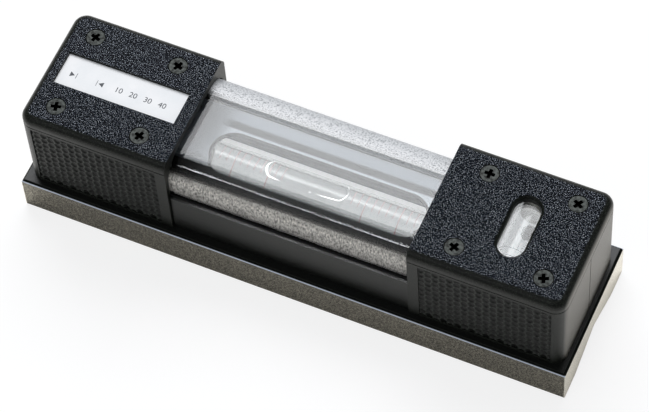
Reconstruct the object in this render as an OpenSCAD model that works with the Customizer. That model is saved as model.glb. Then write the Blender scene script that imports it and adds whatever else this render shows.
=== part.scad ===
// Precision block level with a long main vial, a cross vial and an adjustable vial cradle.
// Origin: middle of the sole. +X runs from the label end to the cross-vial end, +Y to the rear, +Z up.
// All sizes are in millimetres.

/* [Base] */
// Length of the hardened base
base_len = 150; // [130:1:170]
// Width of the base
base_w = 39.8; // [38.8:0.2:46]
// Height of the base
base_h = 11.5; // [11:0.5:14]
// Width of the vee groove in the sole
vee_w = 25; // [16:1:26]
// Depth of the vee groove
vee_depth = 4.5; // [3:0.5:5]
// Chamfer round the top edges of the base
base_chamfer = 0.7; // [0.3:0.1:0.8]

/* [Housings] */
// Bare ledge of the base beyond each housing's end
end_ledge = 1.6; // [1:0.1:3.3]
// Half width of the housings
housing_half_w = 17.8; // [17.6:0.1:18.6]
// Top of the housings above the sole
housing_top = 39.4; // [39:0.2:46]
// Length of the label housing
label_len = 40.7; // [40.3:0.1:42.7]
// Length of the cross-vial housing
cross_len = 41; // [40:0.1:41.5]
// Wall of the housing shells
shell_wall = 2.4; // [1.8:0.1:2.6]
// Radius of the housings' outer upright corners
corner_r = 3.6; // [3:0.1:4.5]
// Thickness of the caps
cap_h = 3.3; // [3:0.1:4]
// Rounding along the caps' outer top edges
cap_round = 2.4; // [1:0.1:2.8]
// Size of the shadow groove under each cap
part_groove = 0.3; // [0.2:0.05:0.4]
// Depth and half width of the seam groove on each housing's end face
seam_groove = 0.15; // [0.1:0.05:0.3]

/* [Grip panels] */
// Smooth border beside the window
grip_border = 2.9; // [2:0.1:5]
// Smooth border above and below the panel
grip_margin = 1.1; // [0.8:0.1:3]
// Depth of the panel's recess
grip_recess = 0.4; // [0.2:0.1:0.6]

/* [Label] */
// Length of the label plate
label_plate_len = 33.6; // [24:0.2:35]
// Width of the label plate
label_plate_w = 9.6; // [7:0.2:12]
// Thickness of the label plate
label_plate_t = 0.5; // [0.3:0.1:0.7]
// Depth of the pocket that holds the label plate
label_pocket = 1.3; // [0.8:0.1:1.5]
// Distance from the housing's end to the middle of the label
label_at = 20.6; // [19.7:0.1:21.2]

/* [Cap screws] */
// Radius of the shanks
screw_r = 1.25; // [1.2:0.05:1.5]
// Radius of the countersunk heads
screw_head_r = 2.35; // [2.2:0.05:2.8]
// Distance from the housing's end to the first pair
screw_first = 7.9; // [7.4:0.1:8.7]
// Distance between the pairs along the housing
screw_pitch = 23.2; // [22:0.2:23.4]
// Half of the distance between the screws of a pair
screw_half_gap = 11.3; // [11.3:0.1:11.8]
// Depth of the threads in the base
screw_bite = 5.5; // [4:0.5:6]
// Radius of the shells' screw posts
post_r = 2.8; // [2.4:0.1:2.8]

/* [Clear cover] */
// Top of the cover above the sole
cover_top = 36.6; // [36.2:0.1:37]
// Half width of the cover's flat top
cover_flat = 9.7; // [8:0.1:10]
// Outer radius of the cover's shoulders
shoulder_r = 6.4; // [5:0.1:6.6]
// Wall of the cover
cover_wall = 3; // [1.5:0.1:3.2]
// Length of cover held inside each housing
cover_insert = 3; // [2.6:0.1:3]
// Thickness of the foam gaskets under the cover
gasket_t = 0.5; // [0.3:0.1:1]

/* [Frame] */
// Half width of the frame between the housings
frame_half_w = 17; // [16.6:0.1:17.4]
// Top of the frame above the sole
ledge_z = 24.2; // [24.2:0.1:25]
// Half width of the frame just inside the housings
neck_half_w = 12.5; // [12:0.1:12.6]
// Half width of the tongues between the posts
tongue_half_w = 8.3; // [7.6:0.1:8.3]
// Top of the tongues above the sole
tongue_z = 20.2; // [20.2:0.1:20.6]
// Thickness of the bridge that carries the adjusting screw
bridge_t = 2; // [1.6:0.1:2]
// Thickness of the mask plate
mask_t = 0.8; // [0.6:0.1:1.2]
// Half width of the window in the mask plate
mask_slot_half_w = 5.6; // [4:0.1:6]
// Distance from each end of the mask plate's window to the end of the frame's neck
mask_slot_inset = 10.2; // [10.2:0.1:14]

/* [Main vial] */
// Middle of the main vial along the level
vial_x = 0.6; // [0.4:0.1:0.8]
// Outer radius of the glass
vial_r = 5.5; // [4.5:0.1:5.5]
// Wall of the glass
vial_wall = 1; // [0.8:0.1:1.2]
// Distance from each end of the glass to the end of the frame's neck
vial_inset = 6.2; // [6.2:0.1:8]
// Length of the plug in each end of the glass
plug_len = 2; // [1.5:0.1:3]
// Length of the main bubble
bubble_len = 21.2; // [16:0.2:24]
// Width of the main bubble
bubble_w = 6.6; // [5:0.1:7]
// Distance of the bubble from the middle of the vial at rest
bubble_rest = -3.2; // [-4:0.1:4]
// Wall of the cradle round the glass
cradle_wall = 0.8; // [0.6:0.1:0.8]
// Height of the cradle's rims above the vial's axis
cradle_rim = 4; // [2:0.1:4.4]
// Thickness of the pads at the ends of the glass
pad_t = 0.6; // [0.4:0.1:0.8]
// Thickness of the cradle's end plates
cradle_end_t = 2; // [1.5:0.1:2]

/* [Cradle adjustment] */
// Distance of the pivot pin beyond the end of the frame's neck
pivot_out = 0.8; // [0.4:0.1:1.8]
// Height of the pivot pin
pivot_z = 16; // [15.6:0.1:16.4]
// Radius of the pivot pin
pin_r = 1; // [0.8:0.1:1.2]
// Distance of the adjusting screw beyond the end of the frame's neck
adjust_out = 3.3; // [2.8:0.1:3.8]
// Radius of the adjusting screw
adjust_r = 1.5; // [1.3:0.1:1.6]
// Vertical travel of the cradle's free end each way
adjust_travel = 0.35; // [0.2:0.05:0.4]

/* [Cross vial] */
// Distance from the housing's end to the cross vial's axis
cross_at = 18.7; // [18.2:0.1:18.9]
// Height of the cross vial's axis
cross_z = 30.4; // [30:0.1:31]
// Outer radius of the cross vial
cross_r = 4.2; // [3.5:0.1:4.2]
// Wall of the cross vial
cross_wall = 0.8; // [0.6:0.1:1]
// Half length of the cross vial
cross_half_len = 10; // [9:0.1:10.2]
// Length of the cross bubble
cross_bubble_len = 6.4; // [5:0.1:8]
// Width of the cross bubble
cross_bubble_w = 4.4; // [3.6:0.1:4.6]
// Length of the window in the cap
window_len = 18.6; // [15:0.2:19]
// Width of the window in the cap
window_w = 8.4; // [6:0.1:8.6]
// Bevel round the window
window_bevel = 0.7; // [0.3:0.1:1]
// Thickness of the window's lens
lens_t = 1.2; // [0.8:0.1:1.4]
// Width of the lens's seat round the window
lens_seat = 1.2; // [0.8:0.1:1.5]

/* [Hidden] */
$fn = 64;

// Clearances, and the small overshoot of a cut past a face
thread_gap = 0.05;
running_gap = 0.05;
press_gap = 0.01;
joint_gap = 0.2;
loose_gap = 0.3;
over = 1;

// Ends of the housings and of the window between them
housing_end = base_len / 2 - end_ledge;
window_x0 = -housing_end + label_len;
window_x1 = housing_end - cross_len;
cap_z = housing_top - cap_h;
shell_h = cap_z - base_h;
screw_spots = [for (u = [screw_first, screw_first + screw_pitch], s = [-1, 1]) [u, s * screw_half_gap]];
label_turns = [15, 72, 71, 66];
cross_turns = [69, 30, 23, 89];
post_hole_r = screw_r + 0.1;
post_rib_w = 2;
head_h = screw_head_r - screw_r + 0.2;
head_rim = 0.2;
head_sink = 0.1;
head_gap = 0.25;
recess_w = 0.95;
recess_len = 2.7;
recess_depth = 1;
base_edge = 0.4;

// Clear cover
shoulder_z = cover_top - shoulder_r;
cover_half_w = cover_flat + shoulder_r;
cover_foot = ledge_z + gasket_t;
cover_x0 = window_x0 - cover_insert;
cover_len = window_x1 + cover_insert - cover_x0;

// Frame
tongue_end = housing_end - shell_wall - 0.8;
neck_end = housing_end - screw_first - screw_pitch - post_r - loose_gap;
mask_slot_half_len = neck_end - mask_slot_inset;
frame_screw_first = 7.4;
frame_screw_pitch = 14;
frame_screw_out = housing_end - frame_screw_first;
frame_screw_in = frame_screw_out - frame_screw_pitch;
frame_screw_x = [-frame_screw_out, -frame_screw_in, frame_screw_in, frame_screw_out];
frame_screw_r = 2;
frame_head_r = 3.5;
frame_head_h = 4;
frame_socket_r = 1.7;
frame_socket_depth = 2;
frame_screw_bite = 5;
mask_end = neck_end - joint_gap;
mask_screw_r = 1;
mask_head_r = 1.8;
mask_head_h = 1.2;
mask_screw_bite = 5;
mask_drive_w = 0.5;
mask_drive_depth = 0.6;
mask_screw_x = mask_end - mask_head_r + 0.4;
mask_screw_y = 9.2;

// Main vial and its cradle, stacked up from the base
cradle_r = vial_r + running_gap + cradle_wall;
vial_z = base_h + adjust_travel + 0.1 + cradle_r;
bore_r = vial_r - vial_wall;
vial_half_len = neck_end - vial_inset;
bore_half_len = vial_half_len - plug_len;
bubble_floor = vial_z + sqrt(pow(bore_r - 0.1, 2) - pow(bubble_w / 2, 2)) - 0.6;
bubble_x = vial_x + bubble_rest;
cradle_x0 = vial_x - vial_half_len - pad_t;
cradle_x1 = vial_x + vial_half_len + pad_t;
trough_half_w = cradle_r + 0.4;
trough_x0 = cradle_x0 - cradle_end_t - 0.6;
trough_x1 = cradle_x1 + cradle_end_t + 0.6;
pivot_x = -neck_end - pivot_out;
adjust_x = neck_end + adjust_out;
lug_half_w = 3.6;
channel_half_w = lug_half_w + 0.6;
pivot_lug_r = 3;
channel_x0 = pivot_x - pivot_lug_r - 1.2;
lug_reach = 3.5;
channel_x1 = adjust_x + lug_reach + 1.2;
nut_rise = 1.8;
nut_z0 = base_h + nut_rise;
nut_h = 3;
bridge_z = tongue_z - bridge_t;
ring_t = 0.6;
ring_r = 2.8;
adjust_head_r = 3;
adjust_head_h = 2;
adjust_tip = base_h + 0.8;
driver_slot = 0.8;
pin_half_len = tongue_half_w - 0.1;

// Cross vial
cross_x = housing_end - cross_at;
cross_bore_r = cross_r - cross_wall;
cross_plug_len = 1.6;
cross_bubble_floor = cross_z + sqrt(pow(cross_bore_r - 0.1, 2) - pow(cross_bubble_w / 2, 2)) - 0.5;
holder_half_w = cross_r + 1.4;
holder_half_len = cross_half_len + 1.3;
holder_rise = 2.4;
holder_top = cross_z + holder_rise;
holder_screw_y = 6;
holder_screw_r = 1.25;
holder_head_r = 2.2;
holder_head_h = 1.4;
holder_screw_bite = 5;
holder_drive_w = 0.6;
holder_drive_depth = 0.7;

// Places children at one end of the level: x runs inwards from the housing's end face
module at_end(side) {
    if (side < 0) {
        translate([-housing_end, 0, 0]) children();
    } else {
        mirror([1, 0, 0]) translate([-housing_end, 0, 0]) children();
    }
}

// Stands a (y, z) outline up and draws it out along X from x0
module along_x(x0, length) {
    translate([x0, 0, 0]) rotate([90, 0, 90]) linear_extrude(length) children();
}

// Plan of a housing: square at the window, round at the two outer corners
module housing_plan(length, half_w, r) {
    translate([r, -half_w]) square([length - r, 2 * half_w]);
    translate([0, r - half_w]) square([r, 2 * (half_w - r)]);
    for (s = [-1, 1]) translate([r, s * (half_w - r)]) circle(r);
}

// Outline of the cover grown by a gap, from its shoulders down to foot_z
module cover_outline(grow, foot_z) {
    half_w = cover_half_w + grow;
    translate([-half_w, foot_z]) square([2 * half_w, shoulder_z - foot_z]);
    translate([-cover_flat, shoulder_z - over]) square([2 * cover_flat, shoulder_r + grow + over]);
    for (s = [-1, 1]) translate([s * cover_flat, shoulder_z]) circle(shoulder_r + grow);
}

// Base

module base() {
    half_w = base_w / 2;
    half_len = base_len / 2;
    color("#4a4844") difference() {
        intersection() {
            along_x(-half_len, base_len) polygon([
                [-half_w + base_edge, 0], [-half_w, base_edge],
                [-half_w, base_h - base_chamfer], [-half_w + base_chamfer, base_h],
                [half_w - base_chamfer, base_h], [half_w, base_h - base_chamfer],
                [half_w, base_edge], [half_w - base_edge, 0],
                [vee_w / 2, 0], [0, vee_depth], [-vee_w / 2, 0]
            ]);
            rotate([90, 0, 0]) linear_extrude(base_w + 2 * over, center = true) polygon([
                [-half_len, -over], [-half_len, base_h - base_chamfer],
                [-half_len + base_chamfer, base_h], [half_len - base_chamfer, base_h],
                [half_len, base_h - base_chamfer], [half_len, -over]
            ]);
        }
        for (side = [-1, 1], spot = screw_spots) {
            at_end(side) translate([spot[0], spot[1], base_h - screw_bite])
                cylinder(h = screw_bite + over, r = screw_r + thread_gap);
        }
        for (x = frame_screw_x) {
            translate([x, 0, base_h - frame_screw_bite])
                cylinder(h = frame_screw_bite + over, r = frame_screw_r + thread_gap);
        }
    }
}

// Frame

module frame_body() {
    body_x0 = window_x0 + joint_gap;
    body_x1 = window_x1 - joint_gap;
    translate([body_x0, -frame_half_w, base_h])
        cube([body_x1 - body_x0, 2 * frame_half_w, ledge_z - base_h]);
    translate([-neck_end, -neck_half_w, base_h])
        cube([2 * neck_end, 2 * neck_half_w, ledge_z - base_h]);
    translate([-tongue_end, -tongue_half_w, base_h])
        cube([2 * tongue_end, 2 * tongue_half_w, tongue_z - base_h]);
}

module frame() {
    color("#25261f") difference() {
        frame_body();
        // Trough for the vial and channels for the cradle's two lugs
        translate([trough_x0, -trough_half_w, base_h - over])
            cube([trough_x1 - trough_x0, 2 * trough_half_w, ledge_z - base_h + 2 * over]);
        translate([channel_x0, -channel_half_w, base_h - over])
            cube([trough_x0 + over - channel_x0, 2 * channel_half_w, ledge_z - base_h + 2 * over]);
        translate([trough_x1 - over, -channel_half_w, base_h - over])
            cube([channel_x1 - trough_x1 + over, 2 * channel_half_w, bridge_z - base_h + over]);
        translate([trough_x1 - over, -channel_half_w, base_h - over])
            cube([neck_end - trough_x1 + over, 2 * channel_half_w, ledge_z - base_h + 2 * over]);
        // Pivot pin, adjusting screw and fixing screws
        translate([pivot_x, 0, pivot_z]) rotate([90, 0, 0])
            cylinder(h = 2 * tongue_half_w + over, r = pin_r + press_gap, center = true);
        translate([adjust_x, 0, bridge_z - over])
            cylinder(h = bridge_t + 2 * over, r = adjust_r + running_gap);
        for (x = frame_screw_x) translate([x, 0, 0]) {
            cylinder(h = tongue_z + over, r = frame_screw_r + 0.1);
            translate([0, 0, tongue_z - frame_head_h - joint_gap])
                cylinder(h = frame_head_h + over, r = frame_head_r + joint_gap);
        }
        for (x = [-mask_screw_x, mask_screw_x], s = [-1, 1]) {
            translate([x, s * mask_screw_y, ledge_z - mask_screw_bite])
                cylinder(h = mask_screw_bite + over, r = mask_screw_r + thread_gap);
        }
        for (s = [-1, 1]) translate([cross_x, s * holder_screw_y, tongue_z - holder_screw_bite])
            cylinder(h = holder_screw_bite + over, r = holder_screw_r + thread_gap);
    }
}

module frame_screws() {
    head_z = tongue_z - frame_head_h - joint_gap;
    color("#2b2b2b") for (x = frame_screw_x) translate([x, 0, 0]) difference() {
        union() {
            translate([0, 0, base_h - frame_screw_bite + joint_gap])
                cylinder(h = head_z - base_h + frame_screw_bite, r = frame_screw_r);
            translate([0, 0, head_z]) cylinder(h = frame_head_h, r = frame_head_r);
        }
        translate([0, 0, head_z + frame_head_h - frame_socket_depth])
            cylinder(h = frame_socket_depth + over, r = frame_socket_r, $fn = 6);
    }
}

// Housings

module shell_ring(length) {
    inner = housing_half_w - shell_wall;
    difference() {
        linear_extrude(shell_h) housing_plan(length, housing_half_w, corner_r);
        translate([shell_wall, 0, -over]) linear_extrude(shell_h + 2 * over)
            housing_plan(length - 2 * shell_wall, inner, corner_r - shell_wall);
        // Shadow groove under the cap
        translate([0, 0, shell_h - part_groove]) linear_extrude(part_groove + over) difference() {
            translate([-over, -housing_half_w - over])
                square([length + 2 * over, 2 * (housing_half_w + over)]);
            translate([part_groove, 0])
                housing_plan(length - part_groove + 2 * over, housing_half_w - part_groove, corner_r);
        }
    }
}

// One moulded half of a housing; s is -1 in front and 1 behind
module shell(length, s) {
    grip_x0 = corner_r - 0.4;
    difference() {
        union() {
            intersection() {
                shell_ring(length);
                translate([-over, s > 0 ? 0 : -housing_half_w, -over])
                    cube([length + 2 * over, housing_half_w, shell_h + 2 * over]);
            }
            for (spot = screw_spots) if (spot[1] * s > 0) {
                translate([spot[0], spot[1], 0]) cylinder(h = shell_h, r = post_r);
                rib_y = housing_half_w - shell_wall + 0.2;
                translate([spot[0] - post_rib_w / 2, s > 0 ? spot[1] : -rib_y, 0])
                    cube([post_rib_w, rib_y - abs(spot[1]), shell_h]);
            }
        }
        for (spot = screw_spots) if (spot[1] * s > 0) {
            translate([spot[0], spot[1], -over]) cylinder(h = shell_h + 2 * over, r = post_hole_r);
        }
        // Way through the inner wall for the frame, and for the cover above it
        translate([length - shell_wall - over, -neck_half_w - joint_gap, -over])
            cube([shell_wall + 2 * over, 2 * (neck_half_w + joint_gap), ledge_z - base_h + 2 * over]);
        translate([0, 0, -base_h]) along_x(length - shell_wall - over, shell_wall + 2 * over)
            cover_outline(loose_gap, ledge_z);
        // Seam groove on the end face, half of it in each shell
        translate([-over, s > 0 ? -over : -seam_groove, -over])
            cube([over + seam_groove, over + seam_groove, shell_h + 2 * over]);
        // Recess of the textured grip panel
        translate([grip_x0, s > 0 ? housing_half_w - grip_recess : -housing_half_w - over, grip_margin])
            cube([length - grip_border - grip_x0, grip_recess + over, shell_h - 2 * grip_margin]);
    }
}

module housing_shell(side, length, s) {
    color("#1d1e1b") at_end(side) translate([0, 0, base_h]) shell(length, s);
}

// Quarter-round edge strip of a cap, from the parting plane to the top, lying along X
module cap_edge(length) {
    along_x(0, length) {
        square([corner_r - cap_round, cap_h]);
        square([corner_r, cap_h - cap_round]);
        intersection() {
            translate([corner_r - cap_round, cap_h - cap_round]) circle(cap_round);
            square([corner_r, cap_h]);
        }
    }
}

module cap_corner() {
    rotate_extrude(angle = 90) {
        square([corner_r - cap_round, cap_h]);
        square([corner_r, cap_h - cap_round]);
        intersection() {
            translate([corner_r - cap_round, cap_h - cap_round]) circle(cap_round);
            square([corner_r, cap_h]);
        }
    }
}

// Cap with rounded end and side edges and a square edge at the window
module cap_slab(length) {
    mid = housing_half_w - corner_r;
    translate([corner_r, -mid, 0]) cube([length - corner_r, 2 * mid, cap_h]);
    translate([corner_r, mid, 0]) cap_edge(length - corner_r);
    mirror([0, 1, 0]) translate([corner_r, mid, 0]) cap_edge(length - corner_r);
    translate([corner_r, -mid, 0]) rotate(90) cap_edge(2 * mid);
    translate([corner_r, mid, 0]) rotate(90) cap_corner();
    translate([corner_r, -mid, 0]) rotate(180) cap_corner();
}

module cap(length) {
    difference() {
        cap_slab(length);
        for (spot = screw_spots) translate([spot[0], spot[1], 0]) {
            translate([0, 0, -over]) cylinder(h = cap_h + 2 * over, r = post_hole_r);
            translate([0, 0, cap_h - head_h - head_sink])
                cylinder(h = head_h - head_rim, r1 = post_hole_r, r2 = screw_head_r + head_gap);
            translate([0, 0, cap_h - head_rim - head_sink])
                cylinder(h = head_rim + over, r = screw_head_r + head_gap);
        }
        // Arch over the cover's end
        translate([0, 0, -cap_z])
            along_x(length - cover_insert - joint_gap, cover_insert + joint_gap + over)
            cover_outline(loose_gap, ledge_z);
    }
}

module label_cap() {
    color("#1d1e22") at_end(-1) translate([0, 0, cap_z]) difference() {
        cap(label_len);
        translate([label_at - label_plate_len / 2 - joint_gap / 2,
            -label_plate_w / 2 - joint_gap / 2, cap_h - label_pocket])
            cube([label_plate_len + joint_gap, label_plate_w + joint_gap, label_pocket + over]);
    }
}

module label_plate() {
    color("#e9ecee") at_end(-1)
        translate([label_at - label_plate_len / 2, -label_plate_w / 2, housing_top - label_pocket])
        cube([label_plate_len, label_plate_w, label_plate_t]);
}

// Long slot with round ends, its length along Y, tapering from w0 at the bottom to w1 at the top
module slot_solid(length, w0, w1, h) {
    reach = (length - w0) / 2;
    for (s = [-1, 1]) translate([0, s * reach, 0]) cylinder(h = h, r1 = w0 / 2, r2 = w1 / 2);
    translate([0, reach, 0]) rotate([90, 0, 0]) linear_extrude(2 * reach)
        polygon([[-w0 / 2, 0], [w0 / 2, 0], [w1 / 2, h], [-w1 / 2, h]]);
}

module cross_cap() {
    narrow = window_w - 2 * window_bevel;
    color("#1d1e22") at_end(1) translate([0, 0, cap_z]) difference() {
        cap(cross_len);
        translate([cross_at, 0, 0]) {
            translate([0, 0, -over])
                slot_solid(window_len - 2 * window_bevel, narrow, narrow, cap_h + 2 * over);
            translate([0, 0, cap_h - window_bevel])
                slot_solid(window_len - 2 * window_bevel, narrow, window_w, window_bevel);
            // Rebate that holds the lens
            translate([-window_w / 2 - lens_seat - joint_gap / 2,
                -window_len / 2 - lens_seat - joint_gap / 2, -over])
                cube([window_w + 2 * lens_seat + joint_gap,
                    window_len + 2 * lens_seat + joint_gap, lens_t + over]);
        }
    }
}

module cross_window() {
    color("#dfe8ea", 0.4) at_end(1)
        translate([cross_at - window_w / 2 - lens_seat, -window_len / 2 - lens_seat, cap_z])
        cube([window_w + 2 * lens_seat, window_len + 2 * lens_seat, lens_t]);
}

// Countersunk screw with a cross recess turned by the angle turn
module cap_screw(turn) {
    head_z = housing_top - head_sink - head_h;
    tip_z = base_h - screw_bite + joint_gap;
    difference() {
        union() {
            translate([0, 0, tip_z]) cylinder(h = head_z - tip_z, r = screw_r);
            translate([0, 0, head_z])
                cylinder(h = head_h - head_rim, r1 = screw_r, r2 = screw_head_r);
            translate([0, 0, head_z + head_h - head_rim]) cylinder(h = head_rim, r = screw_head_r);
        }
        for (a = [0, 90]) rotate(turn + a)
            translate([-recess_len / 2, -recess_w / 2, housing_top - head_sink - recess_depth])
            cube([recess_len, recess_w, recess_depth + over]);
    }
}

module cap_screws(side, turns) {
    color("#3a3c38") at_end(side) for (i = [0:3])
        translate([screw_spots[i][0], screw_spots[i][1], 0]) cap_screw(turns[i]);
}

// Clear cover and mask

module clear_cover() {
    color("#e4eef0", 0.35) along_x(cover_x0, cover_len) difference() {
        cover_outline(0, cover_foot);
        cover_outline(-cover_wall, cover_foot - over);
    }
}

module cover_gaskets() {
    color("#101010") for (s = [-1, 1])
        translate([cover_x0, s > 0 ? cover_half_w - cover_wall : -cover_half_w, ledge_z])
        cube([cover_len, cover_wall, gasket_t]);
}

module mask_plate() {
    color("#1b1c1d") difference() {
        translate([-mask_end, -neck_half_w + 0.1, ledge_z])
            cube([2 * mask_end, 2 * (neck_half_w - 0.1), mask_t]);
        reach = mask_slot_half_len - mask_slot_half_w;
        translate([vial_x - reach, -mask_slot_half_w, ledge_z - over])
            cube([2 * reach, 2 * mask_slot_half_w, mask_t + 2 * over]);
        for (s = [-1, 1]) translate([vial_x + s * reach, 0, ledge_z - over])
            cylinder(h = mask_t + 2 * over, r = mask_slot_half_w);
        for (x = [-mask_screw_x, mask_screw_x], s = [-1, 1])
            translate([x, s * mask_screw_y, ledge_z - over])
            cylinder(h = mask_t + 2 * over, r = mask_screw_r + 0.1);
    }
}

module mask_screws() {
    head_z = ledge_z + mask_t;
    tip_z = ledge_z - mask_screw_bite + joint_gap;
    color("#8b8d8f") for (x = [-mask_screw_x, mask_screw_x], s = [-1, 1])
        translate([x, s * mask_screw_y, 0]) difference() {
            union() {
                translate([0, 0, tip_z]) cylinder(h = head_z - tip_z, r = mask_screw_r);
                translate([0, 0, head_z]) cylinder(h = mask_head_h, r = mask_head_r);
            }
            translate([-mask_head_r - over, -mask_drive_w / 2, head_z + mask_head_h - mask_drive_depth])
                cube([2 * (mask_head_r + over), mask_drive_w, mask_drive_depth + over]);
        }
}

// Main vial and its cradle

// Open-topped round-bottomed channel section of the cradle, filled if solid is true
module cradle_section(solid) {
    rim_z = vial_z + cradle_rim;
    bed_r = vial_r + running_gap;
    difference() {
        union() {
            translate([0, vial_z]) circle(cradle_r);
            translate([-cradle_r, vial_z]) square([2 * cradle_r, cradle_rim]);
        }
        translate([-cradle_r - over, rim_z]) square([2 * (cradle_r + over), cradle_r]);
        if (!solid) {
            translate([0, vial_z]) circle(bed_r);
            translate([-bed_r, vial_z]) square([2 * bed_r, cradle_rim + over]);
        }
    }
}

module vial_cradle() {
    color("#b8b4a4") difference() {
        union() {
            along_x(cradle_x0, cradle_x1 - cradle_x0) cradle_section(false);
            along_x(cradle_x0 - cradle_end_t, cradle_end_t) cradle_section(true);
            along_x(cradle_x1, cradle_end_t) cradle_section(true);
            // Lug of the pivot
            translate([pivot_x, 0, pivot_z]) rotate([90, 0, 0])
                cylinder(h = 2 * lug_half_w, r = pivot_lug_r, center = true);
            translate([pivot_x, -lug_half_w, pivot_z - pivot_lug_r])
                cube([cradle_x0 - cradle_end_t / 2 - pivot_x, 2 * lug_half_w, 2 * pivot_lug_r]);
            // Lug with the adjusting thread
            translate([cradle_x1 + cradle_end_t / 2, -lug_half_w, nut_z0])
                cube([adjust_x + lug_reach - cradle_x1 - cradle_end_t / 2, 2 * lug_half_w, nut_h]);
        }
        translate([pivot_x, 0, pivot_z]) rotate([90, 0, 0])
            cylinder(h = 2 * lug_half_w + over, r = pin_r + running_gap, center = true);
        translate([adjust_x, 0, nut_z0 - over])
            cylinder(h = nut_h + 2 * over, r = adjust_r + thread_gap);
    }
}

module vial_pads() {
    color("#6b5136") for (x = [cradle_x0, cradle_x1 - pad_t])
        translate([x, 0, vial_z]) rotate([0, 90, 0]) cylinder(h = pad_t, r = vial_r);
}

module main_vial() {
    color("#dfe9e2", 0.4) along_x(vial_x - vial_half_len, 2 * vial_half_len)
        translate([0, vial_z]) difference() {
            circle(vial_r);
            circle(bore_r);
        }
}

module main_vial_plugs() {
    color("#d9d6cb") for (s = [-1, 1])
        translate([vial_x + s * (vial_half_len - plug_len / 2), 0, vial_z]) rotate([0, 90, 0])
        cylinder(h = plug_len, r = bore_r - press_gap, center = true);
}

// The spirit is left out of the bubble's path, so that the bubble can travel
module main_spirit() {
    color("#cfe3c0", 0.5) along_x(vial_x - bore_half_len, 2 * bore_half_len) intersection() {
        translate([0, vial_z]) circle(bore_r - press_gap);
        translate([-bore_r, vial_z - bore_r]) square([2 * bore_r, bubble_floor - 0.1 - vial_z + bore_r]);
    }
}

// Bubble: a length of the bore's crown with a round-ended plan
module bubble_solid(bore, length, width, axis_z, floor_z) {
    intersection() {
        translate([0, 0, axis_z]) rotate([0, 90, 0])
            cylinder(h = length + 2 * over, r = bore - 0.1, center = true);
        translate([0, 0, floor_z]) union() {
            translate([-(length - width) / 2, -width / 2, 0]) cube([length - width, width, bore]);
            for (s = [-1, 1]) translate([s * (length - width) / 2, 0, 0])
                cylinder(h = bore, r = width / 2);
        }
    }
}

module main_bubble() {
    color("#f4f7f2", 0.5) translate([bubble_x, 0, 0])
        bubble_solid(bore_r, bubble_len, bubble_w, vial_z, bubble_floor);
}

module pivot_pin() {
    color("#9a9c9e") translate([pivot_x, 0, pivot_z]) rotate([90, 0, 0])
        cylinder(h = 2 * pin_half_len, r = pin_r, center = true);
}

module adjusting_screw() {
    color("#a9965a") translate([adjust_x, 0, 0]) difference() {
        union() {
            translate([0, 0, adjust_tip]) cylinder(h = tongue_z - adjust_tip, r = adjust_r);
            translate([0, 0, tongue_z]) cylinder(h = adjust_head_h, r = adjust_head_r);
        }
        translate([-adjust_head_r - over, -driver_slot / 2, tongue_z + adjust_head_h / 2])
            cube([2 * (adjust_head_r + over), driver_slot, adjust_head_h]);
    }
}

module retaining_ring() {
    color("#77797b") translate([adjust_x, 0, bridge_z - 0.1 - ring_t]) difference() {
        cylinder(h = ring_t, r = ring_r);
        translate([0, 0, -over]) cylinder(h = ring_t + 2 * over, r = adjust_r + press_gap);
    }
}

// Cross vial

module cross_holder() {
    bed_r = cross_r + running_gap;
    bed_half_len = cross_half_len + joint_gap / 2;
    color("#c9c8c2") translate([cross_x, 0, 0]) difference() {
        translate([-holder_half_w, -holder_half_len, tongue_z])
            cube([2 * holder_half_w, 2 * holder_half_len, holder_top - tongue_z]);
        translate([0, 0, cross_z]) rotate([90, 0, 0])
            cylinder(h = 2 * bed_half_len, r = bed_r, center = true);
        translate([-bed_r, -bed_half_len, cross_z])
            cube([2 * bed_r, 2 * bed_half_len, cross_r]);
        for (s = [-1, 1]) translate([0, s * holder_screw_y, 0]) {
            translate([0, 0, tongue_z - over]) cylinder(h = cross_z - tongue_z, r = holder_screw_r + 0.1);
            translate([0, 0, cross_z - cross_r - holder_head_h - joint_gap])
                cylinder(h = cross_r, r = holder_head_r + 0.1);
        }
    }
}

module cross_holder_screws() {
    head_z = cross_z - cross_r - holder_head_h - joint_gap;
    tip_z = tongue_z - holder_screw_bite + joint_gap;
    color("#8b8d8f") for (s = [-1, 1]) translate([cross_x, s * holder_screw_y, 0]) difference() {
        union() {
            translate([0, 0, tip_z]) cylinder(h = head_z - tip_z, r = holder_screw_r);
            translate([0, 0, head_z]) cylinder(h = holder_head_h, r = holder_head_r);
        }
        translate([-holder_head_r - over, -holder_drive_w / 2, head_z + holder_head_h - holder_drive_depth])
            cube([2 * (holder_head_r + over), holder_drive_w, holder_drive_depth + over]);
    }
}

module cross_vial() {
    color("#e3e8e6", 0.4) translate([cross_x, 0, cross_z]) rotate([90, 0, 0]) difference() {
        cylinder(h = 2 * cross_half_len, r = cross_r, center = true);
        cylinder(h = 2 * (cross_half_len + over), r = cross_bore_r, center = true);
    }
}

module cross_vial_plugs() {
    color("#d9d6cb") for (s = [-1, 1])
        translate([cross_x, s * (cross_half_len - cross_plug_len / 2), cross_z]) rotate([90, 0, 0])
        cylinder(h = cross_plug_len, r = cross_bore_r - press_gap, center = true);
}

module cross_spirit() {
    half_len = cross_half_len - cross_plug_len;
    color("#cfe3c0", 0.5) translate([cross_x, 0, cross_z]) intersection() {
        rotate([90, 0, 0]) cylinder(h = 2 * half_len, r = cross_bore_r - press_gap, center = true);
        translate([-cross_bore_r, -half_len - over, -cross_bore_r])
            cube([2 * cross_bore_r, 2 * (half_len + over),
                cross_bubble_floor - 0.1 - cross_z + cross_bore_r]);
    }
}

module cross_bubble() {
    color("#f4f7f2", 0.5) translate([cross_x, 0, 0]) rotate(90)
        bubble_solid(cross_bore_r, cross_bubble_len, cross_bubble_w, cross_z, cross_bubble_floor);
}

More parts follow.
